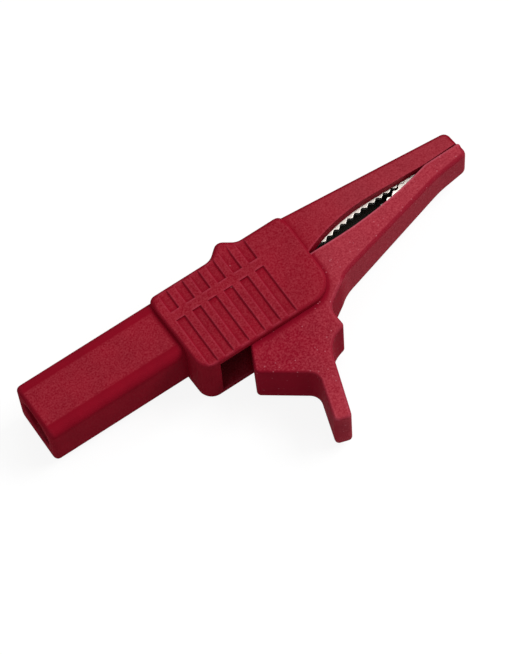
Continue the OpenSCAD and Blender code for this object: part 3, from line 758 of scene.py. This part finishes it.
@dataclass(frozen=True)
class TorsionSpring:
    """The spring that closes the jaws, as a smooth wire.

    Attributes:
        pivot: Hinge axis in X and Y, mm.
        wire_d: Wire diameter, mm.
        coil_r: Mean radius of the coil, mm.
        turns: Whole turns.
        pitch: Rise of one turn, mm.
        still_end: End of the leg on the strap, mm.
        moving_end: End of the leg on the trigger, mm.
        steps: Rings in one turn.
        sides: Sides of the wire.
    """

    pivot: FlatPoint = (42.5, -4.8)
    wire_d: float = 0.9
    coil_r: float = 2.0
    turns: int = 3
    pitch: float = 0.95
    still_end: FlatPoint = (33.73, 0.3)
    moving_end: FlatPoint = (33.82, -12.34)
    steps: int = 40
    sides: int = 16

    def leaves_at(self, end: FlatPoint, tangent: Tangent) -> float:
        """Finds where a leg leaves the coil.

        Args:
            end: End of the leg, mm.
            tangent: Side on which it leaves.

        Returns:
            Angle on the coil, radians from 0 to a full turn.
        """
        dx, dy = end[0] - self.pivot[0], end[1] - self.pivot[1]
        aside = math.acos(self.coil_r / math.hypot(dx, dy))
        return (math.atan2(dy, dx) + tangent.value * aside) % math.tau

    def path(self) -> list[Vector]:
        """Winds the wire's centre line.

        Returns:
            Its points from the still end to the moving end, mm.
        """
        start = self.leaves_at(self.still_end, Tangent.RIGHT)
        stop = self.leaves_at(self.moving_end, Tangent.LEFT)
        sweep = math.tau * (self.turns + 1) + start - stop
        half = sweep / math.tau * self.pitch / 2
        count = math.ceil(sweep / math.tau * self.steps)
        line = [Vector((*self.still_end, half))]
        for k in range(count + 1):
            angle = start - sweep * k / count
            x = self.pivot[0] + self.coil_r * math.cos(angle)
            y = self.pivot[1] + self.coil_r * math.sin(angle)
            line.append(Vector((x, y, half * (1 - 2 * k / count))))
        line.append(Vector((*self.moving_end, -half)))
        return line

    def mesh(self) -> bpy.types.Mesh:
        """Sweeps the wire along its path.

        Returns:
            The closed mesh of the wire.
        """
        line = self.path()
        last = len(line) - 1
        sides = self.sides
        rings: list[Vector] = []
        for k, point in enumerate(line):
            along = (line[min(k + 1, last)] - line[max(k - 1, 0)]).normalized()
            across = along.cross(Vector((0, 0, 1))).normalized()
            over = across.cross(along)
            for i in range(sides):
                angle = math.tau * i / sides
                outward = math.cos(angle) * across + math.sin(angle) * over
                rings.append(point + self.wire_d / 2 * outward)
        faces = [tuple(range(sides)), tuple(last * sides + i for i in reversed(range(sides)))]
        for k in range(last):
            here, there = k * sides, (k + 1) * sides
            for i in range(sides):
                beside = (i + 1) % sides
                faces.append((here + i, there + i, there + beside, here + beside))
        mesh = bpy.data.meshes.new("torsion_spring_wire")
        mesh.from_pydata([tuple(point * MM) for point in rings], [], faces)
        mesh.validate()
        mesh.shade_smooth()
        return mesh

    def build(self) -> bpy.types.Object:
        """Builds the wire in place and hides the CAD spring.

        Returns:
            The wire object, which stands for the CAD spring.
        """
        wire = bpy.data.objects.new("torsion_spring_wire", self.mesh())
        bpy.context.scene.collection.objects.link(wire)
        wire.data.materials.append(SPRING_STEEL.material())
        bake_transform(wire)
        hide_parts("torsion_spring")
        return wire


@dataclass(frozen=True)
class Softbox:
    """A square soft light.

    Attributes:
        name: Light name.
        at: Position, m.
        size: Side length, m.
        watts: Power.
    """

    name: str
    at: Point
    size: float
    watts: float

    def hang(self, aim: Point) -> None:
        """Hangs the light so that it points at the clip.

        Args:
            aim: Point that it lights, m.
        """
        data = bpy.data.lights.new(self.name, "AREA")
        data.size = self.size
        data.energy = self.watts
        light = bpy.data.objects.new(self.name, data)
        light.location = self.at
        towards = Vector(aim) - Vector(self.at)
        light.rotation_euler = towards.to_track_quat("-Z", "Y").to_euler()
        bpy.context.scene.collection.objects.link(light)


@dataclass(frozen=True)
class Studio:
    """White table, soft light and the photo's camera.

    The table and the room have one strength for light on the clip and one for rays that show them,
    in that order.

    Attributes:
        camera_at: Camera position, mm.
        camera_right: Camera's right, in the part's frame.
        camera_up: Camera's up, in the part's frame.
        camera_range: Nearest and farthest distance that the camera shows, m.
        focal_px: Focal length in pixels of a picture that is picture_h high.
        picture_h: Height of that picture, pixels.
        sensor: Sensor width, mm.
        table_z: Height of the table, under the cheek that the clip lies on, mm.
        table_half: Half of the table's side, m.
        table_grey: Grey of the table.
        table_glow: Glow of the table, which makes it white and leaves room for the clip's shadow.
        table_roughness: Principled roughness of the table.
        room: Strength of the white room.
        aim: Point that the lights point at, m.
        lights: Main light on the jaws' side, weak fill and a lamp for the metal.
    """

    camera_at: Point = (-73.16, -205.09, 498.61)
    camera_right: Point = (0.827571, -0.559715, -0.042960)
    camera_up: Point = (0.525308, 0.745166, 0.410828)
    camera_range: Span = (0.01, 20.0)
    focal_px: float = 3200.0
    picture_h: float = 655.0
    sensor: float = 36.0
    table_z: float = -6.8
    table_half: float = 3.0
    table_grey: Span = (0.36, 0.12)
    table_glow: Span = (0.0, 0.88)
    table_roughness: float = 0.9
    room: Span = (0.4, 1.0)
    aim: Point = (0.04, 0.0, 0.0)
    lights: tuple[Softbox, ...] = (
        Softbox("softbox", (0.65, -0.13, 0.7), 0.5, 6.9),
        Softbox("fill", (-0.6, -0.25, 0.25), 0.3, 0.6),
        Softbox("lamp", (0.29, 0.3, 0.7), 0.22, 0.8),
    )

    def camera(self) -> None:
        """Places the camera as it was fitted to the photo."""
        data = bpy.data.cameras.new("photo_camera")
        data.sensor_width = self.sensor
        data.lens = self.sensor * self.focal_px / self.picture_h
        data.clip_start, data.clip_end = self.camera_range
        camera = bpy.data.objects.new("photo_camera", data)
        right, up = Vector(self.camera_right), Vector(self.camera_up)
        turn = Matrix((right, up, right.cross(up))).transposed().to_4x4()
        camera.matrix_world = Matrix.Translation(Vector(self.camera_at) * MM) @ turn
        bpy.context.scene.collection.objects.link(camera)
        bpy.context.scene.camera = camera

    def seen(self, tree: Tree) -> Source:
        """Tells rays that show the background from rays that only light the object.

        Args:
            tree: Node tree to add to.

        Returns:
            1 for camera, glossy and transmission rays, and 0 for others.
        """
        rays = add_node(tree, "ShaderNodeLightPath").outputs
        shown: Source = rays["Is Camera Ray"]
        for kind in ("Is Glossy Ray", "Is Transmission Ray"):
            shown = add_node(
                tree, "ShaderNodeMath", None, {0: shown, 1: rays[kind]}, operation="MAXIMUM"
            )
        return shown

    def table(self) -> None:
        """Lays the white table, which keeps the clip's shadow."""
        mesh = bpy.data.meshes.new("table")
        half = self.table_half
        corners = [(-half, -half), (half, -half), (half, half), (-half, half)]
        mesh.from_pydata([(*corner, self.table_z * MM) for corner in corners], [], [(0, 1, 2, 3)])
        table = bpy.data.objects.new("table", mesh)
        bpy.context.scene.collection.objects.link(table)
        material, tree = new_material("table_white")
        seen = self.seen(tree)
        grey, glow = (
            add_node(tree, "ShaderNodeMapRange", limits((0.0, 1.0), onto), {"Value": seen})
            for onto in (self.table_grey, self.table_glow)
        )
        shader = add_node(
            tree, "ShaderNodeBsdfPrincipled",
            {"Roughness": self.table_roughness, "Emission Color": linear(WHITE)},
            {"Base Color": grey, "Emission Strength": glow},
        )
        add_node(tree, "ShaderNodeOutputMaterial", None, {"Surface": shader})
        mesh.materials.append(material)

    def light(self) -> None:
        """Sets the room's light and hangs the soft lights."""
        world = bpy.data.worlds.new("white_room")
        world.use_nodes = True
        tree = world.node_tree
        tree.nodes.clear()
        strength = add_node(
            tree, "ShaderNodeMapRange", limits((0.0, 1.0), self.room), {"Value": self.seen(tree)}
        )
        sky = add_node(
            tree, "ShaderNodeBackground", {"Color": linear(WHITE)}, {"Strength": strength}
        )
        add_node(tree, "ShaderNodeOutputWorld", None, {"Surface": sky})
        bpy.context.scene.world = world
        for softbox in self.lights:
            softbox.hang(self.aim)

    def build(self) -> None:
        """Builds camera, table and light."""
        bpy.context.scene.view_settings.view_transform = "Standard"
        self.camera()
        self.table()
        self.light()


def main() -> None:
    """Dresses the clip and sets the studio."""
    logging.basicConfig(level=logging.INFO, format="%(name)s: %(message)s")
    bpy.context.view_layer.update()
    for piece in (*Insulation().dress(), *Conductors().dress(), TorsionSpring().build()):
        LOG.info("dressed %s", piece.name)
    Studio().build()
    LOG.info("size written")


if __name__ == "__main__":
    main()
